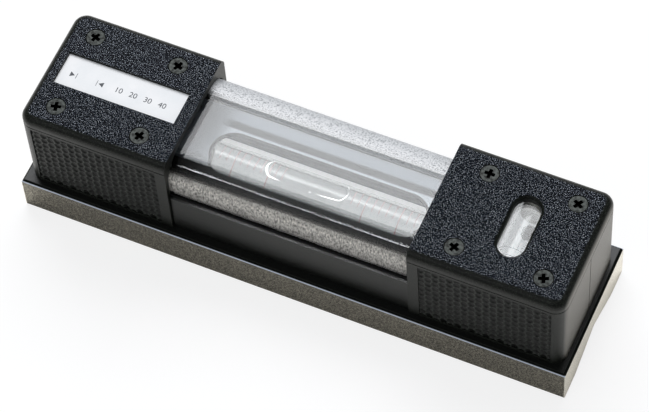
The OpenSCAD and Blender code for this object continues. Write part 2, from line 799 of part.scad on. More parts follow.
base();
frame();
frame_screws();
housing_shell(-1, label_len, -1);  // label_shell_front
housing_shell(-1, label_len, 1);  // label_shell_rear
label_cap();
label_plate();
cap_screws(-1, label_turns);  // label_cap_screws
housing_shell(1, cross_len, -1);  // cross_shell_front
housing_shell(1, cross_len, 1);  // cross_shell_rear
cross_cap();
cross_window();
cap_screws(1, cross_turns);  // cross_cap_screws
clear_cover();
cover_gaskets();
mask_plate();
mask_screws();
vial_cradle();
vial_pads();
main_vial();
main_vial_plugs();
main_spirit();
main_bubble();
pivot_pin();
adjusting_screw();
retaining_ring();
cross_holder();
cross_holder_screws();
cross_vial();
cross_vial_plugs();
cross_spirit();
cross_bubble();
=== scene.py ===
import math

import bmesh
import bpy
from mathutils import Matrix, Vector


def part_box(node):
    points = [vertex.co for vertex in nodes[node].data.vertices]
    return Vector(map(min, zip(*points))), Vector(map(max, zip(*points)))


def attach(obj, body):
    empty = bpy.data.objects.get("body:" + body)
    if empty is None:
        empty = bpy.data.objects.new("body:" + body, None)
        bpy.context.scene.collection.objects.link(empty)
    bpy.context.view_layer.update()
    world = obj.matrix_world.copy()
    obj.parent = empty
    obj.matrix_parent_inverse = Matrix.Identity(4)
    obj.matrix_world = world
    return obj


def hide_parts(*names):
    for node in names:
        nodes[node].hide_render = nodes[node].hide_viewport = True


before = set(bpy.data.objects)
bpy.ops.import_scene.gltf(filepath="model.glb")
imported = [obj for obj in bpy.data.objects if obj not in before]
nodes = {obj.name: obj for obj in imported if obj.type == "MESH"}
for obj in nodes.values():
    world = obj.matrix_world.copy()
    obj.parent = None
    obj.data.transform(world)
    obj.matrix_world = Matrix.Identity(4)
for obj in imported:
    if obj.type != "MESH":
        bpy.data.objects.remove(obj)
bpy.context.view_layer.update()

# Lengths are in metres, as in the frame; MM turns a length in millimetres into metres
MM = 0.001


# Places read from the frame

def middle(node):
    low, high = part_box(node)
    return (low + high) / 2


def extent(node):
    low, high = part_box(node)
    return high - low


VIAL_MIDDLE = middle("main_vial")
VIAL_RADIUS = extent("main_vial").y / 2
VIAL_BORE = extent("main_vial_plugs").y / 2
BUBBLE_MIDDLE = middle("main_bubble")
CROSS_MIDDLE = middle("cross_vial")
CROSS_RADIUS = extent("cross_vial").x / 2
CROSS_BORE = extent("cross_vial_plugs").x / 2
WINDOW_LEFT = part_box("label_cap")[1].x
WINDOW_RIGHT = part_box("cross_cap")[0].x
GRIP_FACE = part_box("label_shell_rear")[1].y
HOUSING_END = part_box("cross_cap")[1].x
CAP_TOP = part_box("label_cap")[1].z
HEAD_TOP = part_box("label_cap_screws")[1].z
BASE_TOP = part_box("base")[1].z
BASE_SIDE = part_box("base")[1].y
BASE_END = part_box("base")[1].x
FRAME_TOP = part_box("frame")[1].z
LABEL_MIDDLE = middle("label_plate")
LABEL_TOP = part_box("label_plate")[1].z


# Camera at the photograph's angle; its focal length and its sensor's width are in millimetres

CAMERA_TARGET = Vector((2.94 * MM, -2.05 * MM, 20 * MM))
CAMERA_DISTANCE = 783.9 * MM
CAMERA_AZIMUTH = math.radians(28.29)
CAMERA_ELEVATION = math.radians(58.24)
CAMERA_ROLL = math.radians(-5.13)
FOCAL_LENGTH = 173.1
SENSOR_WIDTH = 36
NEAREST_SEEN = 10 * MM


def make_camera():
    sight = Vector((
        -math.sin(CAMERA_AZIMUTH) * math.cos(CAMERA_ELEVATION),
        math.cos(CAMERA_AZIMUTH) * math.cos(CAMERA_ELEVATION),
        -math.sin(CAMERA_ELEVATION),
    ))
    lens = bpy.data.cameras.new("camera")
    lens.lens = FOCAL_LENGTH
    lens.sensor_fit = "HORIZONTAL"
    lens.sensor_width = SENSOR_WIDTH
    lens.clip_start = NEAREST_SEEN
    lens.dof.use_dof = False
    camera = bpy.data.objects.new("camera", lens)
    bpy.context.scene.collection.objects.link(camera)
    turn = sight.to_track_quat("-Z", "Y").to_matrix().to_4x4() @ Matrix.Rotation(CAMERA_ROLL, 4, "Z")
    camera.matrix_world = Matrix.Translation(CAMERA_TARGET - sight * CAMERA_DISTANCE) @ turn
    bpy.context.scene.camera = camera


# Light: a pale room, a softbox above and behind the level, and a small lamp above and in front of it

SOFTBOX_WAY = Vector((-0.25, 0.56, 0.79))
LAMP_WAY = Vector((-0.25, -0.67, 0.70))
LAMP_DISTANCE = 1.2
LIT_POINT = Vector((0, 0, 30 * MM))
ROOM_SEEN = 1.0
ROOM_ON_MATTE = 0.4
ROOM_IN_MIRRORS = 0.1


def area_light(name, way, width, depth, watts, colour):
    data = bpy.data.lights.new(name, "AREA")
    data.shape = "RECTANGLE"
    data.size = width
    data.size_y = depth
    data.energy = watts
    data.color = linear(colour)[:3]
    light = bpy.data.objects.new(name, data)
    bpy.context.scene.collection.objects.link(light)
    place = LIT_POINT + way.normalized() * LAMP_DISTANCE
    turn = (-way).to_track_quat("-Z", "Y").to_matrix().to_4x4()
    light.matrix_world = Matrix.Translation(place) @ turn


def make_room():
    """A white room to the camera, a pale one to matte surfaces and a dark one to mirrors."""
    world = bpy.data.worlds.new("room")
    bpy.context.scene.world = world
    world.use_nodes = True
    tree = world.node_tree
    tree.nodes.clear()
    path = add(tree, "LightPath").outputs
    plain = add(tree, "Mix", {0: path["Is Camera Ray"], 2: ROOM_ON_MATTE, 3: ROOM_SEEN})
    strength = add(tree, "Mix", {0: path["Is Glossy Ray"], 2: plain, 3: ROOM_IN_MIRRORS})
    light = add(tree, "Background", {"Color": linear("#f4f7fc"), "Strength": strength})
    add(tree, "OutputWorld", {"Surface": light})


# Materials

def linear(code):
    """An sRGB hex colour as linear RGBA."""
    shares = [int(code[i:i + 2], 16) / 255 for i in (1, 3, 5)]
    return [s / 12.92 if s <= 0.04045 else ((s + 0.055) / 1.055) ** 2.4 for s in shares] + [1]


def per_mm(size):
    """The texture scale at which one feature of a pattern is size millimetres wide."""
    return 1 / (size * MM)


def add(tree, kind, inputs=None, stops=(), **settings):
    """Adds one node with its settings.

    Each input is fed by a value, by an output, or by a node, which means that node's first output in use.
    The stops of a colour ramp are pairs of a place and a hex colour.
    """
    made = tree.nodes.new("ShaderNode" + kind)
    for name, value in settings.items():
        setattr(made, name, value)
    for socket, value in (inputs or {}).items():
        if isinstance(value, bpy.types.Node):
            value = next(output for output in value.outputs if output.enabled)
        if isinstance(value, bpy.types.NodeSocket):
            tree.links.new(value, made.inputs[socket])
        else:
            made.inputs[socket].default_value = value
    for count, (place, code) in enumerate(stops):
        elements = made.color_ramp.elements
        element = elements[count] if count < len(elements) else elements.new(1)
        element.position = place
        element.color = linear(code)
    return made


def bare(name):
    """A new material with an empty node tree."""
    material = bpy.data.materials.new(name)
    material.use_nodes = True
    material.node_tree.nodes.clear()
    return material, material.node_tree


def start(name):
    """The same, with the place on the piece that its patterns follow."""
    material, tree = bare(name)
    return material, tree, add(tree, "TexCoord").outputs["Object"]


def finished(material, tree, surface):
    add(tree, "OutputMaterial", {"Surface": surface})
    return material


# In a Mix node, input 0 is the share, 2 and 3 are the values that it mixes, and 6 and 7 the colours.
# Where a map range marks a part of a piece, it gives 0 from From Min outwards and 1 from From Max onwards.

# The usual width over which one finish turns into the next
EDGE = 0.1 * MM


def spark_grained_abs():
    """Black ABS from a spark-eroded mould: dark and matte, with painted glints of the softbox on its flat
    tops, glossier at its ends.
    """
    material, tree, place = start("spark_grained_abs")
    # The real grain is about 0.05 mm; it is drawn four times as coarse so that it shows
    grain = add(tree, "TexNoise", {"Vector": place, "Scale": per_mm(0.2), "Detail": 1.0})
    spot = add(tree, "SeparateXYZ", {0: place}).outputs
    along = add(tree, "Math", {0: spot["X"]}, operation="ABSOLUTE")
    top = add(tree, "MapRange", {
        "Value": spot["Z"], "From Min": CAP_TOP - 0.12 * MM, "From Max": CAP_TOP - 0.02 * MM,
    })
    end = add(tree, "MapRange", {
        "Value": along, "From Min": HOUSING_END - 0.6 * MM, "From Max": HOUSING_END - 0.1 * MM,
    })
    plain = add(tree, "ValToRGB", {0: grain}, stops=[
        (0.40, "#060806"), (0.56, "#141713"), (0.68, "#373b33"),
    ])
    # Painted highlight: pale specks on the flat tops stand for the softbox glinting in the grain
    painted_glints = add(tree, "ValToRGB", {0: grain}, stops=[
        (0.51, "#030609"), (0.59, "#090d14"), (0.64, "#465064"), (0.70, "#eef6ff"),
    ])
    gloss = add(tree, "Mix", {0: top, 2: 0.22, 3: 0.03})
    warmth = add(tree, "Mix", {0: end, 6: linear("#ffffff"), 7: linear("#fff6e8")}, data_type="RGBA")
    shader = add(tree, "BsdfPrincipled", {
        "Base Color": add(tree, "Mix", {0: top, 6: plain, 7: painted_glints}, data_type="RGBA"),
        "Roughness": add(tree, "MapRange", {"Value": grain, "To Min": 0.34, "To Max": 0.44}),
        "IOR": 1.55,
        "Specular IOR Level": add(tree, "Mix", {0: end, 2: gloss, 3: 1.0}),
        "Specular Tint": warmth,
        "Normal": add(tree, "Bump", {"Height": grain, "Distance": 0.025 * MM}),
    })
    return finished(material, tree, shader)


def grip_abs():
    """The same ABS in the grip panels, with a trace of green; painted shade darkens the cups and the ridges
    are painted paler.
    """
    material, tree, place = start("grip_abs")
    grain = add(tree, "TexNoise", {"Vector": place, "Scale": per_mm(0.25), "Detail": 1.0})
    spot = add(tree, "SeparateXYZ", {0: place}).outputs
    out = add(tree, "Math", {0: spot["Y"]}, operation="ABSOLUTE")
    # Painted shade: the colour darkens with depth into the cups, so the ridges look lit
    ridge = add(tree, "MapRange", {"Value": out, "From Min": GRIP_FACE - 0.35 * MM, "From Max": GRIP_FACE})
    shade = add(tree, "Math", {0: ridge, 1: 0.5, 2: grain}, operation="MULTIPLY_ADD")
    shader = add(tree, "BsdfPrincipled", {
        "Base Color": add(tree, "ValToRGB", {0: shade}, stops=[
            (0.45, "#050605"), (0.8, "#101210"), (1.0, "#30342f"),
        ]),
        "Roughness": 0.4,
        "IOR": 1.55,
        "Specular IOR Level": 0.15,
        "Normal": add(tree, "Bump", {"Height": grain, "Distance": 0.03 * MM}),
    })
    return finished(material, tree, shader)


# Base: the height of its chamfer, and the height and inward reach of the pale line painted along the lip on
# it as a highlight

BASE_CHAMFER = 0.7 * MM
LIP_HEIGHT = 0.24 * MM
LIP_REACH = 0.5 * MM


def blackened_steel():
    """Tool steel: brown-grey and speckled where ground, black on top; its ends are a near-white copy of the
    ground steel as a painted reflection, and a pale line is painted along its two long lips as a highlight.
    """
    material, tree, place = start("blackened_steel")
    # The blacking takes unevenly, in spots about 0.3 mm wide
    grain = add(tree, "TexNoise", {"Vector": place, "Scale": per_mm(0.3), "Detail": 2.0, "Roughness": 0.7})
    spot = add(tree, "SeparateXYZ", {0: place}).outputs
    along = add(tree, "Math", {0: spot["X"]}, operation="ABSOLUTE")
    side = add(tree, "Math", {0: spot["Y"]}, operation="ABSOLUTE")
    chamfer_low = BASE_TOP - BASE_CHAMFER
    lip_top = chamfer_low + LIP_HEIGHT
    lip_inner = BASE_SIDE - LIP_REACH
    top = add(tree, "MapRange", {
        "Value": spot["Z"], "From Min": chamfer_low + 0.02 * MM, "From Max": chamfer_low + 0.06 * MM,
    })
    flat = add(tree, "MapRange", {
        "Value": spot["Z"], "From Min": BASE_TOP - 0.1 * MM, "From Max": BASE_TOP - 0.05 * MM,
    })
    end = add(tree, "MapRange", {
        "Value": along, "From Min": BASE_END - 0.2 * MM, "From Max": BASE_END - 0.1 * MM,
    })
    # Painted highlight: a pale blue-white line along the foot of each long chamfer
    above = add(tree, "MapRange", {
        "Value": spot["Z"], "From Min": chamfer_low - 0.06 * MM, "From Max": chamfer_low - 0.02 * MM,
    })
    below = add(tree, "MapRange", {"Value": spot["Z"], "From Min": lip_top, "From Max": lip_top - 0.04 * MM})
    outer = add(tree, "MapRange", {"Value": side, "From Min": lip_inner, "From Max": lip_inner + EDGE})
    band = add(tree, "Math", {0: above, 1: below}, operation="MULTIPLY")
    lip = add(tree, "Math", {0: band, 1: outer}, operation="MULTIPLY")
    ground = add(tree, "ValToRGB", {0: grain}, stops=[
        (0.36, "#37352f"), (0.5, "#6b675d"), (0.64, "#a29d8f"),
    ])
    # Painted reflection: the ends are given a near-white copy of the ground steel
    end_painted_reflection = add(tree, "ValToRGB", {0: grain}, stops=[
        (0.36, "#c9c3b7"), (0.5, "#e4dfd3"), (0.64, "#fbf7ec"),
    ])
    black = add(tree, "ValToRGB", {0: grain}, stops=[(0.3, "#0b0d0b"), (0.7, "#1a1d19")])
    sides = add(tree, "Mix", {0: end, 6: ground, 7: end_painted_reflection}, data_type="RGBA")
    steel_with_painted_ends = add(tree, "Mix", {0: top, 6: sides, 7: black}, data_type="RGBA")
    shader = add(tree, "BsdfPrincipled", {
        "Base Color": add(tree, "Mix", {0: lip, 6: steel_with_painted_ends, 7: linear("#dce4f0")}, data_type="RGBA"),
        "Metallic": add(tree, "Mix", {0: top, 2: 0.9, 3: 0.0}),
        "Specular IOR Level": add(tree, "Mix", {0: flat, 2: 0.02, 3: 0.5}),
        "Roughness": add(tree, "MapRange", {"Value": grain, "To Min": 0.32, "To Max": 0.46}),
        "Normal": add(tree, "Bump", {"Height": grain, "Distance": 0.03 * MM}),
    })
    return finished(material, tree, shader)


# Frame: where the painted light on its pale rear ledge begins

LEDGE_FRONT = 12.2 * MM


def frame_enamel():
    """Smooth black stoving enamel on the frame; the ledge behind the mask plate is painted pale as painted
    light.
    """
    material, tree, place = start("frame_enamel")
    peel = add(tree, "TexNoise", {"Vector": place, "Scale": per_mm(1.2), "Detail": 2.0})
    spot = add(tree, "SeparateXYZ", {0: place}).outputs
    upper = add(tree, "MapRange", {
        "Value": spot["Z"], "From Min": FRAME_TOP - 0.1 * MM, "From Max": FRAME_TOP - 0.05 * MM,
    })
    rear = add(tree, "MapRange", {
        "Value": spot["Y"], "From Min": LEDGE_FRONT, "From Max": LEDGE_FRONT + EDGE,
    })
    # Painted light: the rear ledge on the frame's top is painted pale grey
    ledge = add(tree, "Math", {0: upper, 1: rear}, operation="MULTIPLY")
    enamel = add(tree, "ValToRGB", {0: peel}, stops=[(0.3, "#080907"), (0.7, "#181b18")])
    shader = add(tree, "BsdfPrincipled", {
        "Base Color": add(tree, "Mix", {0: ledge, 6: enamel, 7: linear("#b0b5ba")}, data_type="RGBA"),
        "Roughness": add(tree, "MapRange", {"Value": peel, "To Min": 0.3, "To Max": 0.45}),
        "IOR": 1.5,
        "Specular IOR Level": 0.4,
        "Normal": add(tree, "Bump", {"Height": peel, "Distance": 0.02 * MM}),
    })
    return finished(material, tree, shader)


def blackened_screw():
    """Blackened steel screws: dark smooth heads, a little mottled by wear; the recess is painted black as
    painted shade.
    """
    material, tree, place = start("blackened_screw")
    wear = add(tree, "TexNoise", {"Vector": place, "Scale": per_mm(0.8), "Detail": 3.0})
    spot = add(tree, "SeparateXYZ", {0: place}).outputs
    # Painted shade: the recess in each head is painted black
    sunk = add(tree, "MapRange", {
        "Value": spot["Z"], "From Min": HEAD_TOP - 0.06 * MM, "From Max": HEAD_TOP - 0.3 * MM,
    })
    head = add(tree, "ValToRGB", {0: wear}, stops=[(0.35, "#232423"), (0.65, "#454846")])
    shader = add(tree, "BsdfPrincipled", {
        "Base Color": add(tree, "Mix", {0: sunk, 6: head, 7: linear("#020202")}, data_type="RGBA"),
        "Metallic": 1.0,
        "Roughness": add(tree, "MapRange", {"Value": wear, "To Min": 0.4, "To Max": 0.5}),
    })
    return finished(material, tree, shader)


def bright_metal(name, dark, pale, streak_mm):
    """Turned or zinc-plated metal: shiny, with dull patches of streak_mm."""
    material, tree, place = start(name)
    wear = add(tree, "TexNoise", {"Vector": place, "Scale": per_mm(streak_mm), "Detail": 3.0})
    shader = add(tree, "BsdfPrincipled", {
        "Base Color": add(tree, "ValToRGB", {0: wear}, stops=[(0.3, dark), (0.7, pale)]),
        "Metallic": 1.0,
        "Roughness": add(tree, "MapRange", {"Value": wear, "To Min": 0.25, "To Max": 0.4}),
    })
    return finished(material, tree, shader)


def satin_label():
    """White printed aluminium label with a satin lacquer."""
    material, tree, place = start("satin_label")
    cloud = add(tree, "TexNoise", {"Vector": place, "Scale": per_mm(5), "Detail": 3.0})
    shader = add(tree, "BsdfPrincipled", {
        "Base Color": add(tree, "ValToRGB", {0: cloud}, stops=[(0.3, "#f0f2f3"), (0.7, "#fafafa")]),
        "Roughness": 0.45,
        "IOR": 1.5,
    })
    return finished(material, tree, shader)


def printing_ink():
    """Dark grey screen-printed ink, a little uneven."""
    material, tree, place = start("printing_ink")
    wear = add(tree, "TexNoise", {"Vector": place, "Scale": per_mm(0.3), "Detail": 2.0})
    shader = add(tree, "BsdfPrincipled", {
        "Base Color": add(tree, "ValToRGB", {0: wear}, stops=[(0.35, "#3a3d42"), (0.7, "#6d7177")]),
        "Roughness": 0.6,
        "IOR": 1.5,
    })
    return finished(material, tree, shader)


def lets_lamps_through(tree, surface):
    """Clear things don't shade what is behind them: rays from lamps pass straight on."""
    path = add(tree, "LightPath").outputs
    return add(tree, "MixShader", {0: path["Is Shadow Ray"], 1: surface, 2: add(tree, "BsdfTransparent")})


# Clear cover: where its frost begins, and the heights and depths between which it fades

REAR_FROST = 9.1 * MM
FRONT_FROST = -13.4 * MM
FROST_EDGE = 0.2 * MM
FROST_LOW = 24 * MM
FROST_HIGH = 36 * MM
SHOULDER_FRONT = 8.7 * MM
SHOULDER_REAR = 14 * MM


def clear_acrylic():
    """Moulded acrylic, polished on its arch, frosted on its rear shoulder and in a band along its front;
    painted shade darkens the front band towards its foot and the rear frost across the shoulder.
    """
    material, tree, place = start("clear_acrylic")
    clear = add(tree, "BsdfPrincipled", {
        "Base Color": linear("#f8faf9"), "Roughness": 0.0, "IOR": 1.49, "Transmission Weight": 1.0,
    })
    # Real frost is finer than 0.1 mm; it is drawn about four times as coarse so that it shows
    stretched = add(tree, "Mapping", {"Vector": place, "Scale": (1.0, 1.0, 0.4)})
    grain = add(tree, "TexNoise", {
        "Vector": stretched, "Scale": per_mm(0.42), "Detail": 3.0, "Roughness": 0.75,
    })
    spot = add(tree, "SeparateXYZ", {0: place}).outputs
    rear = add(tree, "MapRange", {
        "Value": spot["Y"], "From Min": REAR_FROST, "From Max": REAR_FROST + FROST_EDGE,
    })
    front = add(tree, "MapRange", {
        "Value": spot["Y"], "From Min": FRONT_FROST, "From Max": FRONT_FROST - FROST_EDGE,
    })
    height = add(tree, "MapRange", {"Value": spot["Z"], "From Min": FROST_LOW, "From Max": FROST_HIGH})
    shoulder = add(tree, "MapRange", {
        "Value": spot["Y"], "From Min": SHOULDER_FRONT, "From Max": SHOULDER_REAR,
    })
    band = add(tree, "ValToRGB", {0: height}, stops=[
        (0.215, "#000000"), (0.225, "#f4f4f4"), (0.68, "#f4f4f4"), (0.85, "#000000"),
    ])
    front_band = add(tree, "Math", {0: band, 1: front}, operation="MULTIPLY")
    frost = add(tree, "Math", {0: front_band, 1: rear}, operation="MAXIMUM")
    front_grain = add(tree, "ValToRGB", {0: grain}, stops=[
        (0.34, "#5c5b57"), (0.48, "#c0bcb4"), (0.62, "#fffaf0"),
    ])
    # Painted shade: the front frost is painted darker towards its foot
    front_painted_shade = add(tree, "ValToRGB", {0: height}, stops=[(0.22, "#a8a8a8"), (0.62, "#ffffff")])
    front_tint = add(
        tree, "Mix", {0: 1.0, 6: front_grain, 7: front_painted_shade}, data_type="RGBA", blend_type="MULTIPLY",
    )
    rear_grain = add(tree, "ValToRGB", {0: grain}, stops=[
        (0.36, "#8d8f91"), (0.46, "#e8e9ea"), (0.54, "#ffffff"),
    ])
    # Painted shade: the rear frost is painted darker as the shoulder turns away from the softbox
    rear_painted_shade = add(tree, "ValToRGB", {0: shoulder}, stops=[(0.0, "#ffffff"), (1.0, "#c8cacc")])
    rear_tint = add(
        tree, "Mix", {0: 1.0, 6: rear_grain, 7: rear_painted_shade}, data_type="RGBA", blend_type="MULTIPLY",
    )
    frosted = add(tree, "BsdfPrincipled", {
        "Base Color": add(tree, "Mix", {0: rear, 6: front_tint, 7: rear_tint}, data_type="RGBA"),
        "Roughness": 0.5,
        "IOR": 1.49,
        "Normal": add(tree, "Bump", {"Height": grain, "Distance": 0.05 * MM}),
    })
    mixed = add(tree, "MixShader", {0: frost, 1: clear, 2: frosted})
    return finished(material, tree, lets_lamps_through(tree, mixed))


def clear_body(name, tint, ior, ripple_mm):
    """A clear smooth body with faint ripples ripple_mm wide."""
    material, tree, place = start(name)
    ripple = add(tree, "TexNoise", {"Vector": place, "Scale": per_mm(ripple_mm), "Detail": 1.0})
    body = add(tree, "BsdfPrincipled", {
        "Base Color": linear(tint),
        "Roughness": 0.0,
        "IOR": ior,
        "Transmission Weight": 1.0,
        "Normal": add(tree, "Bump", {"Height": ripple, "Distance": 0.01 * MM}),
    })
    return finished(material, tree, lets_lamps_through(tree, body))


def vial_glass():
    """Drawn glass tube, fire-polished: clear, with the slow waves of the drawing."""
    return clear_body("vial_glass", "#fafbfb", 1.47, 6)


def air_bubble():
    """Air in the spirit. The spirit here bends no light, so a low index is enough for the curved edge."""
    return clear_body("air_bubble", "#ffffff", 1.04, 9)


# Spirit: where the painted shade on its front edge starts, and where it is darkest

SHADE_START = -1.6 * MM
SHADE_FULL = -3.4 * MM


def spirit():
    """Clear alcohol in the glass: it only tints what is seen through it, and its front edge is painted dark
    as painted shade.
    """
    material, tree, place = start("spirit")
    swirl = add(tree, "TexNoise", {"Vector": place, "Scale": per_mm(8), "Detail": 1.0})
    spot = add(tree, "SeparateXYZ", {0: place}).outputs
    # Painted shade: what is seen through the spirit's front edge is tinted dark grey
    front = add(tree, "MapRange", {"Value": spot["Y"], "From Min": SHADE_START, "From Max": SHADE_FULL})
    # The cross vial, right of the window, gets no painted shade
    in_window = add(tree, "MapRange", {
        "Value": spot["X"], "From Min": WINDOW_RIGHT, "From Max": WINDOW_RIGHT - 1.0 * MM,
    })
    dark = add(tree, "Math", {0: front, 1: in_window}, operation="MULTIPLY")
    clear = add(tree, "ValToRGB", {0: swirl}, stops=[(0.3, "#f5f6f6"), (0.7, "#fbfbfb")])
    liquid = add(tree, "BsdfTransparent", {
        "Color": add(tree, "Mix", {0: dark, 6: clear, 7: linear("#6a7476")}, data_type="RGBA"),
    })
    return finished(material, tree, liquid)


def painted_meniscus_glint():
    """A painted highlight for the bubble's rim where it throws the lamps back: near white, and glowing
    though it is no lamp.
    """
    material, tree, place = start("painted_meniscus_glint")
    fade = add(tree, "TexNoise", {"Vector": place, "Scale": per_mm(0.8), "Detail": 2.0})
    shader = add(tree, "BsdfPrincipled", {
        "Base Color": add(tree, "ValToRGB", {0: fade}, stops=[(0.3, "#e6e9ea"), (0.6, "#ffffff")]),
        "Roughness": 0.2,
        # Painted highlight: the arcs glow although they are no lamp
        "Emission Color": linear("#ffffff"),
        "Emission Strength": 0.5,
    })
    return finished(material, tree, shader)


def red_mark():
    """Thin red enamel line fired on the glass."""
    material, tree, place = start("red_mark")
    wear = add(tree, "TexNoise", {"Vector": place, "Scale": per_mm(0.35), "Detail": 2.0})
    shader = add(tree, "BsdfPrincipled", {
        "Base Color": add(tree, "ValToRGB", {0: wear}, stops=[(0.3, "#a03c3c"), (0.7, "#cf8583")]),
        "Roughness": 0.5,
        "Alpha": 0.75,
    })
    return finished(material, tree, shader)


# Mask plate: its slot with a black border, partly its dark edge and partly painted shade, the striped
# painted reflection behind it, and the black strip of painted shade in front

SLOT_STRAIGHT = 46.8 * MM
SLOT_HALF_WIDTH = 5.6 * MM
SLOT_BORDER = 0.75 * MM
BANDS_START = 4.0 * MM
BANDS_REACH = 12.5 * MM
BANDS_LEFT = -29.5 * MM
BANDS_RIGHT = -26 * MM
BLACK_FRONT = -5 * MM
PALE_FROM = -3 * MM
SHAKE = 0.8 * MM


def satin_black_plate():
    """Mask plate in satin lacquer: painted shade makes it black in front and round its slot, and a painted
    reflection lies in pale and dark stripes behind the slot.
    """
    material, tree, place = start("satin_black_plate")
    grain = add(tree, "TexNoise", {"Vector": place, "Scale": per_mm(0.45), "Detail": 3.0, "Roughness": 0.75})
    spot = add(tree, "SeparateXYZ", {0: place}).outputs
    shaken = add(tree, "Math", {0: grain, 1: SHAKE, 2: -SHAKE / 2}, operation="MULTIPLY_ADD")
    across = add(tree, "Math", {0: spot["Y"], 1: shaken}, operation="ADD")
    share = add(tree, "MapRange", {"Value": across, "From Min": 0, "From Max": BANDS_REACH})
    # Painted reflection: pale and dark stripes painted behind the slot
    painted_reflection_bands = add(tree, "ValToRGB", {0: share}, stops=[
        (0.545, "#b4bac1"), (0.58, "#2b2d31"), (0.70, "#2b2d31"), (0.76, "#969da5"), (0.93, "#9aa1a9"),
        (0.98, "#969ca2"),
    ])
    # Painted shade: the plate darkens to black towards its front
    backward = add(tree, "MapRange", {"Value": spot["Y"], "From Min": BLACK_FRONT, "From Max": PALE_FROM})
    plain = add(tree, "ValToRGB", {0: backward}, stops=[(0.0, "#050505"), (1.0, "#868d94")])
    inside = add(tree, "MapRange", {"Value": spot["X"], "From Min": BANDS_LEFT, "From Max": BANDS_RIGHT})
    rear = add(tree, "MapRange", {
        "Value": spot["Y"], "From Min": BANDS_START, "From Max": BANDS_START + EDGE,
    })
    banded = add(tree, "Math", {0: inside, 1: rear}, operation="MULTIPLY")
    # The plate's colour with its painted shade and painted reflection
    lacquer = add(tree, "Mix", {0: banded, 6: plain, 7: painted_reflection_bands}, data_type="RGBA")
    # How far a place is from the slot's middle line, which ends where the slot's round ends begin
    from_middle = add(tree, "Math", {0: spot["X"], 1: VIAL_MIDDLE.x}, operation="SUBTRACT")
    along = add(tree, "Math", {0: from_middle}, operation="ABSOLUTE")
    beyond = add(tree, "Math", {0: along, 1: SLOT_STRAIGHT / 2}, operation="SUBTRACT")
    lengthwise = add(tree, "Math", {0: beyond, 1: 0.0}, operation="MAXIMUM")
    offset = add(tree, "CombineXYZ", {0: lengthwise, 1: spot["Y"]})
    reach = add(tree, "VectorMath", {0: offset}, operation="LENGTH")
    # A black border painted round the slot: partly its dark edge, partly painted shade
    border = SLOT_HALF_WIDTH + SLOT_BORDER
    edge = add(tree, "MapRange", {"Value": reach, "From Min": border, "From Max": border - EDGE})
    shader = add(tree, "BsdfPrincipled", {
        "Base Color": add(tree, "Mix", {0: edge, 6: lacquer, 7: linear("#08090a")}, data_type="RGBA"),
        "Roughness": 0.4,
        "IOR": 1.5,
        "Specular IOR Level": 0.1,
    })
    return finished(material, tree, shader)


# Cradle: the top of its bed, and where the painted shade on the bed's front gives way to the white enamel

BED_TOP = 21.6 * MM
BED_FRONT = -1.2 * MM
BED_WHITE_FROM = 0.4 * MM


def cradle_enamel_and_painted_light():
    """White enamel in the cradle's bed, glowing a little as painted light so that it looks bright through
    the vial; its rims are black, and painted shade makes the front of the bed black.
    """
    material, tree, place = start("cradle_enamel_and_painted_light")
    cloud = add(tree, "TexNoise", {"Vector": place, "Scale": per_mm(2.5), "Detail": 3.0})
    spot = add(tree, "SeparateXYZ", {0: place}).outputs
    low = add(tree, "MapRange", {"Value": spot["Z"], "From Min": BED_TOP, "From Max": BED_TOP - EDGE})
    # Painted shade: the front of the bed is painted black
    rear = add(tree, "MapRange", {"Value": spot["Y"], "From Min": BED_FRONT, "From Max": BED_WHITE_FROM})
    white = add(tree, "Math", {0: low, 1: rear}, operation="MULTIPLY")
    bed = add(tree, "ValToRGB", {0: cloud}, stops=[(0.3, "#eeeeef"), (0.7, "#f8f8f9")])
    shader = add(tree, "BsdfPrincipled", {
        "Base Color": add(tree, "Mix", {0: white, 6: linear("#101112"), 7: bed}, data_type="RGBA"),
        "Roughness": 0.5,
        "IOR": 1.5,
        # Painted light: the white bed glows a little although it is no lamp
        "Emission Color": linear("#f6f7f8"),
        "Emission Strength": add(tree, "Mix", {0: white, 2: 0.0, 3: 0.3}),
    })
    return finished(material, tree, shader)


def holder_moulding_painted_glow():
    """Pale moulded holder that glows a little as painted light, so that its bed looks bright through the
    cross vial.
    """
    material, tree, place = start("holder_moulding_painted_glow")
    cloud = add(tree, "TexNoise", {"Vector": place, "Scale": per_mm(2), "Detail": 3.0})
    shader = add(tree, "BsdfPrincipled", {
        "Base Color": add(tree, "ValToRGB", {0: cloud}, stops=[(0.3, "#e4e5e6"), (0.7, "#f2f2f3")]),
        "Roughness": 0.55,
        "IOR": 1.5,
        # Painted light: the holder glows although it is no lamp
        "Emission Color": linear("#f3f4f7"),
        "Emission Strength": 0.28,
    })
    return finished(material, tree, shader)


def matte(name, dark, pale, grain_mm, roughness):
    """A matte, finely mottled surface such as foam, cork or cement."""
    material, tree, place = start(name)
    grain = add(tree, "TexVoronoi", {"Vector": place, "Scale": per_mm(grain_mm)})
    shader = add(tree, "BsdfPrincipled", {
        "Base Color": add(tree, "ValToRGB", {0: grain}, stops=[(0.1, dark), (0.7, pale)]),
        "Roughness": roughness,
        "Normal": add(tree, "Bump", {"Height": grain, "Distance": 0.05 * MM}),
    })
    return finished(material, tree, shader)


